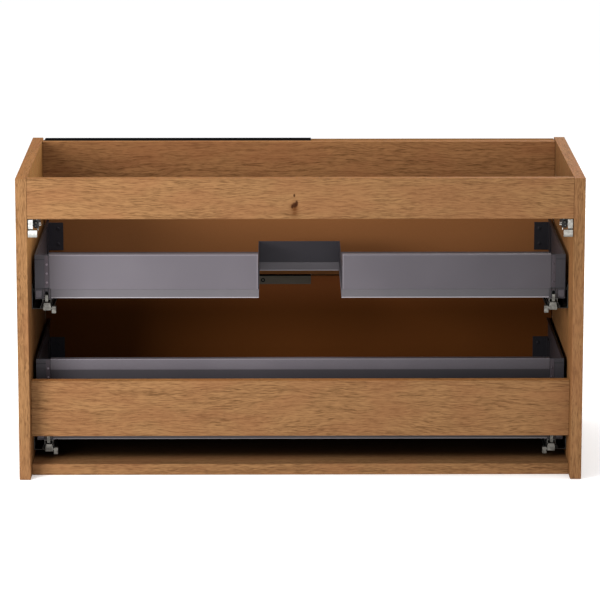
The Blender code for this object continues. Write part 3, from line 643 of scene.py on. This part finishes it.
def screw_black(name, centre):
    """Blackened steel, with a painted glint in the recess round the screw's axis."""
    g = Graph(name)
    grain = g.noise(g.position(), scale=SCREW_GRAIN_SCALE, detail=2)
    colour = g.mix(g.ramp(grain, *SCREW_RANGE), *BLACK_STEEL)
    # Painted glint round the screw's axis
    glint = g.ramp(g.spot(centre, (GLINT_RADIUS, GLINT_RADIUS)), 0.4, 1.0, 1.0, 0.0)
    colour = g.mix(glint, colour, GLINT_STEEL)
    return g.finish(Base_Color=colour, Metallic=0.0, Specular_IOR_Level=0.2,
                    Roughness=g.ramp(grain, *SPREAD, 0.50, 0.62),
                    Normal=g.bump(grain, BRUSHED_RELIEF, 0.4))


def moulded(name, dark, light):
    """Moulded plastic with a fine spark-eroded texture."""
    g = Graph(name)
    spark = g.noise(g.position(), scale=SPARK_SCALE, detail=2)
    cloud = g.noise(g.position(), scale=PLASTIC_CLOUD_SCALE, detail=2)
    colour = g.mix(g.ramp(cloud, *SPREAD), dark, light)
    return g.finish(Base_Color=colour, Roughness=g.ramp(spark, *SPREAD, 0.48, 0.62),
                    Normal=g.bump(spark, GRAINED_RELIEF, 0.5))


# Piece helpers

WELD = 0.00001
FLAT_ANGLE = math.radians(1)
SHARP_ANGLE = math.radians(30)


def shown_as(node, material):
    """Give a CAD node a finished material."""
    data = NODES[node].data
    data.materials.clear()
    data.materials.append(material)


def add_piece(name, mesh, material, body):
    """A new mesh piece that rides on a CAD body."""
    bmesh.ops.recalc_face_normals(mesh, faces=mesh.faces)
    data = bpy.data.meshes.new(name)
    mesh.to_mesh(data)
    mesh.free()
    piece = bpy.data.objects.new(name, data)
    bpy.context.collection.objects.link(piece)
    data.materials.append(material)
    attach(piece, body)
    return piece


def refine(node, material, width, segments=2):
    """Replace a CAD node by a copy whose sharp edges are rounded."""
    mesh = bmesh.new()
    mesh.from_mesh(NODES[node].data)
    bmesh.ops.remove_doubles(mesh, verts=mesh.verts, dist=WELD)
    bmesh.ops.dissolve_limit(mesh, angle_limit=FLAT_ANGLE, verts=mesh.verts, edges=mesh.edges)
    sharp = [edge for edge in mesh.edges
             if len(edge.link_faces) == 2 and edge.calc_face_angle() > SHARP_ANGLE]
    bmesh.ops.bevel(mesh, geom=sharp, offset=width, segments=segments, profile=0.5,
                    affect="EDGES", clamp_overlap=True)
    piece = add_piece(node + "_shape", mesh, material, BODY_OF[node])
    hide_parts(node)
    return piece


GREY = (rgb(86, 81, 87), rgb(91, 86, 92))
BRACKET_GREY = (rgb(60, 58, 64), rgb(66, 64, 70))
# Painted shade: the left hooks' zinc is darker than the right hooks'
HOOK_LIT_AND_SHADED_TONES = {"right": (rgb(168, 168, 164), rgb(206, 206, 202)),
              "left": (rgb(146, 143, 136), rgb(178, 175, 168))}
HOOK_NECK = (0.0005, 0.0015)         # how far the neck reaches below and above the housing's base
RAIL_SHADOW_RISE = 0.0085
# Painted highlights along the rear walls' edges
HIGHLIGHT_DROP = 0.0004
HIGHLIGHT_HALF = (0.0013, 0.0020)  # of a top edge and of an upright edge
SEAM_TOP_DROP = 0.0085
SEAM_FOOT_RISE = 0.0175
SEAM_HALF = (0.0010, 0.0014)         # of a level seam and of an upright one
ROUNDING = 0.00025
HANDLE_ROUNDING = 0.0006


def main_materials():
    """One finished material for each kind of surface that isn't an oak board."""
    return {
        "drawer_steel": powder_coat("drawer_powder_coat", *GREY),
        "strip": powder_coat("strip_powder_coat", rgb(72, 64, 71), rgb(78, 70, 77), 0.45),
        "plate": powder_coat("plate_powder_coat", rgb(62, 55, 60), rgb(68, 61, 66), 0.45),
        "dark_steel": powder_coat("dark_powder_coat", rgb(45, 42, 48), rgb(51, 48, 54), 0.50),
        "zinc_steel": zinc("zinc_plated", rgb(96, 96, 94), rgb(140, 140, 137)),
        "dull_zinc": zinc("dull_zinc", rgb(52, 51, 49), rgb(78, 77, 74), 0.45),
        "bright_zinc": zinc("bright_zinc", rgb(84, 82, 78), rgb(130, 128, 122), 0.40),
        "pin_zinc": zinc("pin_zinc", rgb(160, 159, 154), rgb(196, 195, 190), 0.30),
        # Painted light: a paler coat for the rivets on the cabinet's right, a lit copy of the strip's
        # coat
        "rivet": powder_coat("rivet_powder_coat", rgb(118, 109, 118), rgb(130, 121, 130)),
        "hanger_plastic": moulded("hanger_black_plastic", rgb(9, 9, 10), rgb(18, 18, 19)),
    }


def wall_finish(node):
    """Powder coat of a rear wall, with painted highlights on its edges and, low down, the rail's
    painted shadow.
    """
    low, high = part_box(node)
    bright = [(2, high.z - HIGHLIGHT_DROP, HIGHLIGHT_HALF[0])]
    shadow = None
    # The lower rear wall gets the rail's painted shadow
    if node == "lower_rear_wall":
        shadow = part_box("rear_lower_rail")[1].z + RAIL_SHADOW_RISE
    else:
        bright.append((0, low.x if low.x > 0 else high.x, HIGHLIGHT_HALF[1]))
    return powder_coat(node + "_powder_coat", *GREY, shadow=shadow, bright=bright)


def bracket_finish(node):
    """Powder coat of a rear bracket, with the seams of its pressed panel."""
    low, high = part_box(node)
    inner = low.x if low.x > 0 else high.x
    seams = [(2, high.z - SEAM_TOP_DROP, SEAM_HALF[0]), (2, low.z + SEAM_FOOT_RISE, SEAM_HALF[0]),
             (0, inner, SEAM_HALF[1])]
    return powder_coat(node + "_powder_coat", *BRACKET_GREY, 0.48, seams=seams)


def finish_for(node, finishes):
    """The finished material of a metal or plastic CAD node."""
    if node == "trap_surround" or "front_bracket" in node:
        return finishes["dark_steel"]
    if "rear_bracket" in node:
        return bracket_finish(node)
    if "drawer_side" in node:
        return powder_coat(node + "_powder_coat", *GREY, hem=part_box(node)[1].z - HEM_THICKNESS)
    if "rear_wall" in node:
        return wall_finish(node)
    if node.endswith("_drawer_floor"):
        return grey_board(node + "_laminate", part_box(node)[0].z)
    if node.endswith("_handle"):
        return anodised_black(node + "_anodised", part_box(node.replace("_handle", "_front"))[1].z)
    if node.endswith("_hook"):
        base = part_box(node.replace("_hook", "_housing"))[0].z
        # Painted shade: darker tones for the left hook
        tones = HOOK_LIT_AND_SHADED_TONES["right" if "right" in node else "left"]
        return hook_zinc(node + "_zinc", (base - HOOK_NECK[0], base + HOOK_NECK[1]), *tones)
    if "cabinet_member" in node or "middle_member" in node or "height_screw" in node:
        return finishes["dull_zinc"]
    if "rear_stop" in node or "drawer_member" in node:
        return finishes["bright_zinc"]
    return finishes[SLOT_OF[node]]


def dress_carcass():
    """Oak on every board of the carcass and on the drawers' fronts."""
    shown_as("side_panel_left", oak_board("side_panel_left", "Z", tint=SIDE_TINT))
    # The right side panel's inward face gets painted light between two heights
    shown_as("side_panel_right",
             oak_board("side_panel_right", "Z", tint=SIDE_TINT, paler=SIDE_LIGHT_HEIGHTS))
    rail_low, rail_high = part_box("rear_top_rail")
    knot = (KNOT_X, rail_low.z + (rail_high.z - rail_low.z) * KNOT_HEIGHT_SHARE)
    shown_as("rear_top_rail", oak_board("rear_top_rail", "X", (knot,)))
    shown_as("rear_lower_rail", oak_board("rear_lower_rail", "X"))
    shown_as("front_top_rail", oak_board("front_top_rail", "X", tint=FAR_RAIL_TINT))
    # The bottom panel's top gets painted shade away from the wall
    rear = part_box("bottom_panel")[1].y
    painted_shade = [rear - depth for depth in BOTTOM_SHADE_DEPTHS]
    shown_as("bottom_panel", oak_board("bottom_panel", "X", painted_shade=painted_shade))
    shown_as("upper_front", front_board("upper_front", UPPER_MELAMINE))
    # The lower front's melamine is darker as painted shade, and paler towards its top as painted light
    shown_as("lower_front", front_board("lower_front", LOWER_MELAMINE_SHADED, FRONT_LIGHT_FACTOR))


def dress_metal(finishes):
    """Rounded copies of the metal and plastic pieces; the handle screws are built apart."""
    for node in sorted(NODES):
        if SLOT_OF[node] == "oak_board" or "handle_screw" in node:
            continue
        finish = finish_for(node, finishes)
        if node.endswith("_drawer_floor"):
            shown_as(node, finish)
        else:
            refine(node, finish, HANDLE_ROUNDING if node.endswith("_handle") else ROUNDING)


# Small parts on the metalwork

EMBED = 0.0001                       # how far an added piece sinks into the face it sits on
HOOK_X = 0.4578                      # from the cabinet's middle to each runner's hook
SLOT_RISE = 0.0163                   # from a drawer member's underside to the pin slot's centre
STRIP_X = (0.0006, 0.0080)           # from a bracket's inner edge
STRIP_FOOT = 0.0195
STRIP_TOP_DROP = 0.0012
STRIP_THICKNESS = 0.0006
STRIP_ROUNDING = 0.0002
RIVET_X = 0.0040
RIVET_DROP = 0.0175
RIVET_STEP = 0.0165
RIVET_LOWEST = 0.022
RIVET_BASE = 0.0005
SLOT_PLATES = (("gasket", 0.0078, 0.0176, 0.0004, "hanger_plastic"),
               ("plate", 0.0068, 0.0166, 0.0007, "plate"))
PLATE_INNER = 0.0028
PLATE_FOOT = 0.0006
PLATE_BRIDGE_RISE = 0.0056
PLATE_BRIDGE_HALF = 0.0040
COLLAR_HALF = (0.0030, 0.0027)       # radius, and half the distance between the slot's arc centres
COLLAR_RING = 0.0012
COLLAR_HEIGHT = 0.0010
CLIP_X = (0.4665, 0.4772)
CLIP_HEIGHTS = (0.0020, 0.0145)
CLIP_THICKNESS = 0.0014
CLIP_ROUNDING = 0.0004
RUNNER_WALL = 0.0013
RUNNER_SCREW_DEPTHS = (0.030, 0.126, 0.222, 0.318)
RUNNER_SCREW_RISE = 0.0300
FRONT_SCREW_X = 0.0100
FRONT_SCREW_MARGIN = 0.012
FRONT_BRACKET_SHEET = 0.0014
SHANK_RADIUS = 0.0014
SHANK_POINT = (0.0010, 0.0005)       # length and tip radius
SCREW_HEAD = (0.0010, 0.0004)        # height and the height of its straight skirt
SCREW_RECESS = (0.52, 0.00045, 0.0007)   # arm over head radius, width, depth
RIVET_DOME = (0.0021, 0.0009)            # radius and height
PAN_DOME = (0.0036, 0.0018, 0.0006)      # radius, height and skirt
PAN_RECESS = (0.0020, 0.0005, 0.0011)    # arm, width and depth
SMALL_DOME = (0.0034, 0.0015, 0.0004)
SMALL_RECESS = (0.0019, 0.0005, 0.0009)
TIP_PROFILE = ((0.0, 0.0013), (0.0042, 0.0013), (0.0047, 0.0009))
TIP_RECESS = (0.0007, 0.00020, 0.0006)
PIN_SINK = 0.0002
PIN_STANDOFF = 0.0010
HOUSING_PINS = ((0.0050, 0.4645), (0.0110, 0.4600), (0.0050, 0.4740))   # depth and height
HOUSING_FOOT_PIN = (0.4672, 0.0040)                                     # X and depth
HOUSING_REAR_PINS = ((0.4713, 0.4600), (0.4682, 0.4720))                # X and height
REAR_PIN_DEPTH = 0.0036


def lathe(mesh, profile, segments=20):
    """Turn a profile of (height, radius) points about Z, closing its ends."""
    rings = []
    angles = [2 * math.pi * step / segments for step in range(segments)]
    for height, radius in profile:
        points = [(radius * math.cos(a), radius * math.sin(a), height) for a in angles]
        rings.append([mesh.verts.new(point) for point in points])
    for ring, following in zip(rings, rings[1:]):
        for step in range(segments):
            after = (step + 1) % segments
            mesh.faces.new((ring[step], ring[after], following[after], following[step]))
    mesh.faces.new(rings[0])
    mesh.faces.new(rings[-1])


def dome(radius, height, skirt=0.0):
    """Profile of a low rounded head on an optional straight skirt."""
    points = [(0.0, radius), (skirt, radius)] if skirt else [(0.0, radius)]
    for step in range(1, 5):
        angle = math.pi / 2 * step / 4.4
        points.append((skirt + (height - skirt) * math.sin(angle), radius * math.cos(angle)))
    return points


def made_object(name, mesh):
    """A scratch object from a mesh."""
    bmesh.ops.recalc_face_normals(mesh, faces=mesh.faces)
    data = bpy.data.meshes.new(name)
    mesh.to_mesh(data)
    mesh.free()
    item = bpy.data.objects.new(name, data)
    bpy.context.collection.objects.link(item)
    return item


def cross_head(profile, arm, width, depth):
    """A turned head with a cross recess in its top, as mesh data with its axis on Z."""
    body = bmesh.new()
    lathe(body, profile)
    head = made_object("head_blank", body)
    top = max(height for height, _ in profile)
    cut = bmesh.new()
    for across, along in ((arm, width), (width, arm)):
        size = Matrix.Diagonal((across * 2, along * 2, depth * 2, 1.0))
        bmesh.ops.create_cube(cut, size=1.0, matrix=Matrix.Translation((0, 0, top)) @ size)
    cutter = made_object("head_cutter", cut)
    modifier = head.modifiers.new("Recess", "BOOLEAN")
    modifier.operation = "DIFFERENCE"
    modifier.solver = "EXACT"
    modifier.use_self = True
    modifier.object = cutter
    bpy.context.view_layer.update()
    shape = head.evaluated_get(bpy.context.evaluated_depsgraph_get())
    data = bpy.data.meshes.new_from_object(shape)
    for item in (head, cutter):
        bpy.data.objects.remove(item, do_unlink=True)
    return data


def place_head(mesh, data, place, direction):
    """Add a head's mesh with its axis along a direction."""
    start = len(mesh.verts)
    mesh.from_mesh(data)
    mesh.verts.ensure_lookup_table()
    turn = Vector(direction).to_track_quat("Z", "Y").to_matrix().to_4x4()
    bmesh.ops.transform(mesh, matrix=Matrix.Translation(place) @ turn, verts=mesh.verts[start:])


def add_block(mesh, low, high, rounding):
    """A box between two corners, with rounded edges."""
    low = Vector(low)
    high = Vector(high)
    corner = Vector([min(pair) for pair in zip(low, high)])
    size = Vector([abs(a - b) for a, b in zip(low, high)])
    place = Matrix.Translation(corner + size / 2) @ Matrix.Diagonal((*size, 1.0))
    block = bmesh.new()
    bmesh.ops.create_cube(block, size=1.0, matrix=place)
    bmesh.ops.bevel(block, geom=block.edges, offset=rounding, segments=2, profile=0.5, affect="EDGES")
    data = bpy.data.meshes.new("block")
    block.to_mesh(data)
    block.free()
    mesh.from_mesh(data)
    bpy.data.meshes.remove(data)


def add_slot_collar(mesh, centre, half, ring, face, proud):
    """A thin raised collar round an upright slot in a face that looks towards +Y."""
    steps = 8
    rings = []
    for grow, y in ((0.0, face), (0.0, face + proud), (ring, face + proud), (ring, face)):
        points = []
        for start, end in ((0.0, half[1]), (math.pi, -half[1])):
            for step in range(steps + 1):
                angle = start + math.pi * step / steps
                radius = half[0] + grow
                points.append((centre[0] + radius * math.cos(angle), y,
                               centre[1] + end + radius * math.sin(angle)))
        rings.append([mesh.verts.new(point) for point in points])
    for ring_a, ring_b in zip(rings, rings[1:] + rings[:1]):
        for step in range(len(ring_a)):
            after = (step + 1) % len(ring_a)
            mesh.faces.new((ring_a[step], ring_a[after], ring_b[after], ring_b[step]))


def dress_rear_brackets(finishes, rivet):
    """The riveted strip, the pin slot's plate and collar, and the corner clip of each rear bracket."""
    for level in LEVELS:
        for side, sign in SIDES:
            low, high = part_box(f"{level}_rear_bracket_{side}")
            name = f"{level}_{side}_bracket"
            inner = min(abs(low.x), abs(high.x))
            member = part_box(f"{level}_runner_{side}_drawer_member")
            slot = (sign * HOOK_X, member[0].z + SLOT_RISE)
            add_bracket_strip(name, sign, inner, low.z, high, finishes, rivet)
            add_slot_plate(name, sign, slot, low.z, high.y, finishes)


def add_bracket_strip(name, sign, inner, base, high, finishes, rivet):
    """A thin upright strip on a bracket's inner edge, held by up to three rivets."""
    body = name.split("_")[0] + "_drawer"
    strip = bmesh.new()
    add_block(strip, (sign * (inner + STRIP_X[0]), high.y - EMBED, base + STRIP_FOOT),
              (sign * (inner + STRIP_X[1]), high.y + STRIP_THICKNESS, high.z - STRIP_TOP_DROP),
              STRIP_ROUNDING)
    add_piece(name + "_strip", strip, finishes["strip"], body)
    rivets = bmesh.new()
    for step in range(3):
        height = high.z - RIVET_DROP - RIVET_STEP * step
        if height > base + RIVET_LOWEST:
            place = (sign * (inner + RIVET_X), high.y + RIVET_BASE, height)
            place_head(rivets, rivet, place, (0, 1, 0))
    # Painted light: the right side's rivets get the paler coat, the left side's the strip's
    finish = finishes["rivet"] if sign > 0 else finishes["strip"]
    add_piece(name + "_rivets", rivets, finish, body)


def add_slot_plate(name, sign, slot, base, face, finishes):
    """What surrounds the runner's pin on a bracket: an outlined plate, a collar and a clip."""
    body = name.split("_")[0] + "_drawer"
    x, z = slot
    for label, half, top, proud, finish in SLOT_PLATES:
        mesh = bmesh.new()
        for across in (-1, 1):
            add_block(mesh, (x + across * PLATE_INNER, face - EMBED, base + PLATE_FOOT),
                      (x + across * half, face + proud, base + top), EMBED)
        add_block(mesh, (x - PLATE_BRIDGE_HALF, face - EMBED, z + PLATE_BRIDGE_RISE),
                  (x + PLATE_BRIDGE_HALF, face + proud, base + top), EMBED)
        add_piece(f"{name}_{label}", mesh, finishes[finish], body)
    collar = bmesh.new()
    add_slot_collar(collar, (x, z), COLLAR_HALF, COLLAR_RING, face - EMBED, COLLAR_HEIGHT)
    add_piece(name + "_collar", collar, finishes["hanger_plastic"], body)
    clip = bmesh.new()
    add_block(clip, (sign * CLIP_X[0], face - EMBED, base + CLIP_HEIGHTS[0]),
              (sign * CLIP_X[1], face + CLIP_THICKNESS, base + CLIP_HEIGHTS[1]), CLIP_ROUNDING)
    add_piece(name + "_clip", clip, finishes["drawer_steel"], body)


def dress_fixings(finishes, pan, small):
    """Screws that hold the runners to the side panels and the drawers' sides to their fronts."""
    for level in LEVELS:
        for side, sign in SIDES:
            low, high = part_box(f"{level}_runner_{side}_cabinet_member")
            heads = bmesh.new()
            inner = max(abs(low.x), abs(high.x)) - RUNNER_WALL
            for depth in RUNNER_SCREW_DEPTHS:
                place = (sign * inner, high.y - depth, low.z + RUNNER_SCREW_RISE)
                place_head(heads, pan, place, (-sign, 0, 0))
            add_piece(f"{level}_{side}_runner_screws", heads, finishes["zinc_steel"],
                      "cabinet")
            low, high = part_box(f"{level}_front_bracket_{side}")
            heads = bmesh.new()
            middle = sign * (min(abs(low.x), abs(high.x)) + FRONT_SCREW_X)
            for height in (low.z + FRONT_SCREW_MARGIN, high.z - FRONT_SCREW_MARGIN):
                place_head(heads, small, (middle, low.y + FRONT_BRACKET_SHEET, height), (0, 1, 0))
            add_piece(f"{level}_{side}_front_screws", heads, finishes["dark_steel"],
                      level + "_drawer")


def dress_handle_screws():
    """Black screws with a cross recess in each handle strip's flange."""
    for level in LEVELS:
        for number in (1, 2, 3):
            node = f"{level}_handle_screw_{number}"
            low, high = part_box(node)
            radius = (high.x - low.x) / 2
            length = high.y - low.y
            neck = length - SCREW_HEAD[0]
            profile = [(0.0, SHANK_POINT[1]), (SHANK_POINT[0], SHANK_RADIUS), (neck, SHANK_RADIUS)]
            profile += [(neck + h, r) for h, r in dome(radius, *SCREW_HEAD)]
            data = cross_head(profile, radius * SCREW_RECESS[0], *SCREW_RECESS[1:])
            mesh = bmesh.new()
            centre = (low + high) / 2
            place_head(mesh, data, (centre.x, low.y, centre.z), (0, 1, 0))
            finish = screw_black(node + "_black", (centre.x, centre.z))
            screw = add_piece(node + "_shape", mesh, finish, BODY_OF[node])
            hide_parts(node)
            bpy.data.meshes.remove(data)


def dress_hangers(finishes, tip):
    """Pins on each housing's rear face, screw heads on its inner face and a tip below it."""
    for side, sign in SIDES:
        low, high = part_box(f"hanger_{side}_housing")
        inner = min(abs(low.x), abs(high.x))
        bright = bmesh.new()
        for depth, z in HOUSING_PINS:
            place_head(bright, tip, (sign * (inner + PIN_STANDOFF), high.y - depth, z), (-sign, 0, 0))
        foot_x, foot_depth = HOUSING_FOOT_PIN
        place_head(bright, tip, (sign * foot_x, high.y - foot_depth, low.z + PIN_SINK), (0, 0, -1))
        add_piece(f"hanger_{side}_pins", bright, finishes["pin_zinc"], "cabinet")
        dull = bmesh.new()
        for x, z in HOUSING_REAR_PINS:
            place_head(dull, tip, (sign * x, high.y - REAR_PIN_DEPTH, z), (0, 1, 0))
        add_piece(f"hanger_{side}_rear_pins", dull, finishes["zinc_steel"], "cabinet")


def dress_details(finishes):
    """Every small part, from a few turned heads."""
    blank = bmesh.new()
    lathe(blank, dome(*RIVET_DOME))
    rivet = bpy.data.meshes.new("rivet")
    bmesh.ops.recalc_face_normals(blank, faces=blank.faces)
    blank.to_mesh(rivet)
    blank.free()
    pan = cross_head(dome(*PAN_DOME), *PAN_RECESS)
    small = cross_head(dome(*SMALL_DOME), *SMALL_RECESS)
    tip = cross_head(TIP_PROFILE, *TIP_RECESS)
    dress_rear_brackets(finishes, rivet)
    dress_fixings(finishes, pan, small)
    dress_handle_screws()
    dress_hangers(finishes, tip)
    for data in (rivet, pan, small, tip):
        bpy.data.meshes.remove(data)


# Stage, light and camera

WHITE = (1.0, 1.0, 1.0, 1.0)
FLOOR_HALF = 60
FLOOR_DROP = 0.0005
FLOOR_GLOW = 0.20
FLOOR_TONES = ((0.90, 0.90, 0.90, 1.0), (0.93, 0.93, 0.93, 1.0))
WORLD_STRENGTH = 0.88
# Name, place, target, size and power of each soft light
SOFTBOXES = (("key_light", (1.35, REAR + 1.30, 0.80), (0.15, REAR, 0.30), 0.8, 38),
             ("top_light", (0, REAR - 0.10, 2.40), (0, REAR - 0.10, 0), 1.0, 14),
             ("front_light", (-1.2, -2.6, 1.6), (0, 0, 0.25), 1.2, 30))
CAMERA_PLACE = (0.044, REAR + 6.12, 1.5755)
CAMERA_TARGET = (0.001, REAR, 0.3295)
CAMERA_LENS = 210.5              # focal length and sensor width in millimetres
CAMERA_SENSOR = 36
CAMERA_RANGE = 100


def add_floor():
    """A plain pale floor, just under the cabinet's base."""
    mesh = bmesh.new()
    bmesh.ops.create_grid(mesh, x_segments=1, y_segments=1, size=FLOOR_HALF)
    data = bpy.data.meshes.new("floor")
    mesh.to_mesh(data)
    mesh.free()
    floor = bpy.data.objects.new("floor", data)
    floor.location.z = -FLOOR_DROP
    bpy.context.collection.objects.link(floor)
    g = Graph("pale_floor")
    tint = g.noise(g.position(), scale=1.5, detail=2)
    colour = g.mix(tint, *FLOOR_TONES)
    data.materials.append(g.finish(Base_Color=colour, Roughness=0.9, Specular_IOR_Level=0.0,
                                   Emission_Color=WHITE, Emission_Strength=FLOOR_GLOW))


def add_world(strength):
    """Even white surroundings."""
    world = bpy.data.worlds.new("studio")
    world.use_nodes = True
    background = world.node_tree.nodes["Background"]
    background.inputs["Color"].default_value = WHITE
    background.inputs["Strength"].default_value = strength
    bpy.context.scene.world = world


def add_softbox(name, place, target, size, power):
    """A square area light that faces a point."""
    light = bpy.data.lights.new(name, "AREA")
    light.size = size
    light.energy = power
    lamp = bpy.data.objects.new(name, light)
    lamp.location = place
    lamp.rotation_mode = "QUATERNION"
    lamp.rotation_quaternion = (Vector(target) - Vector(place)).to_track_quat("-Z", "Y")
    bpy.context.collection.objects.link(lamp)


def add_camera(place, target, lens):
    """The studio camera, level from side to side."""
    data = bpy.data.cameras.new("camera")
    data.lens = lens
    data.sensor_width = CAMERA_SENSOR
    data.clip_end = CAMERA_RANGE
    camera = bpy.data.objects.new("camera", data)
    camera.location = place
    camera.rotation_mode = "QUATERNION"
    camera.rotation_quaternion = (Vector(target) - Vector(place)).to_track_quat("-Z", "Y")
    bpy.context.collection.objects.link(camera)
    bpy.context.scene.camera = camera


def set_studio():
    """The camera stands behind the cabinet, a little above it, as does the key light."""
    add_floor()
    add_world(WORLD_STRENGTH)
    for name, place, target, size, power in SOFTBOXES:
        add_softbox(name, place, target, size, power)
    add_camera(CAMERA_PLACE, CAMERA_TARGET, CAMERA_LENS)
    bpy.context.scene.view_settings.view_transform = "Standard"


set_studio()
dress_carcass()
FINISHES = main_materials()
dress_metal(FINISHES)
dress_details(FINISHES)
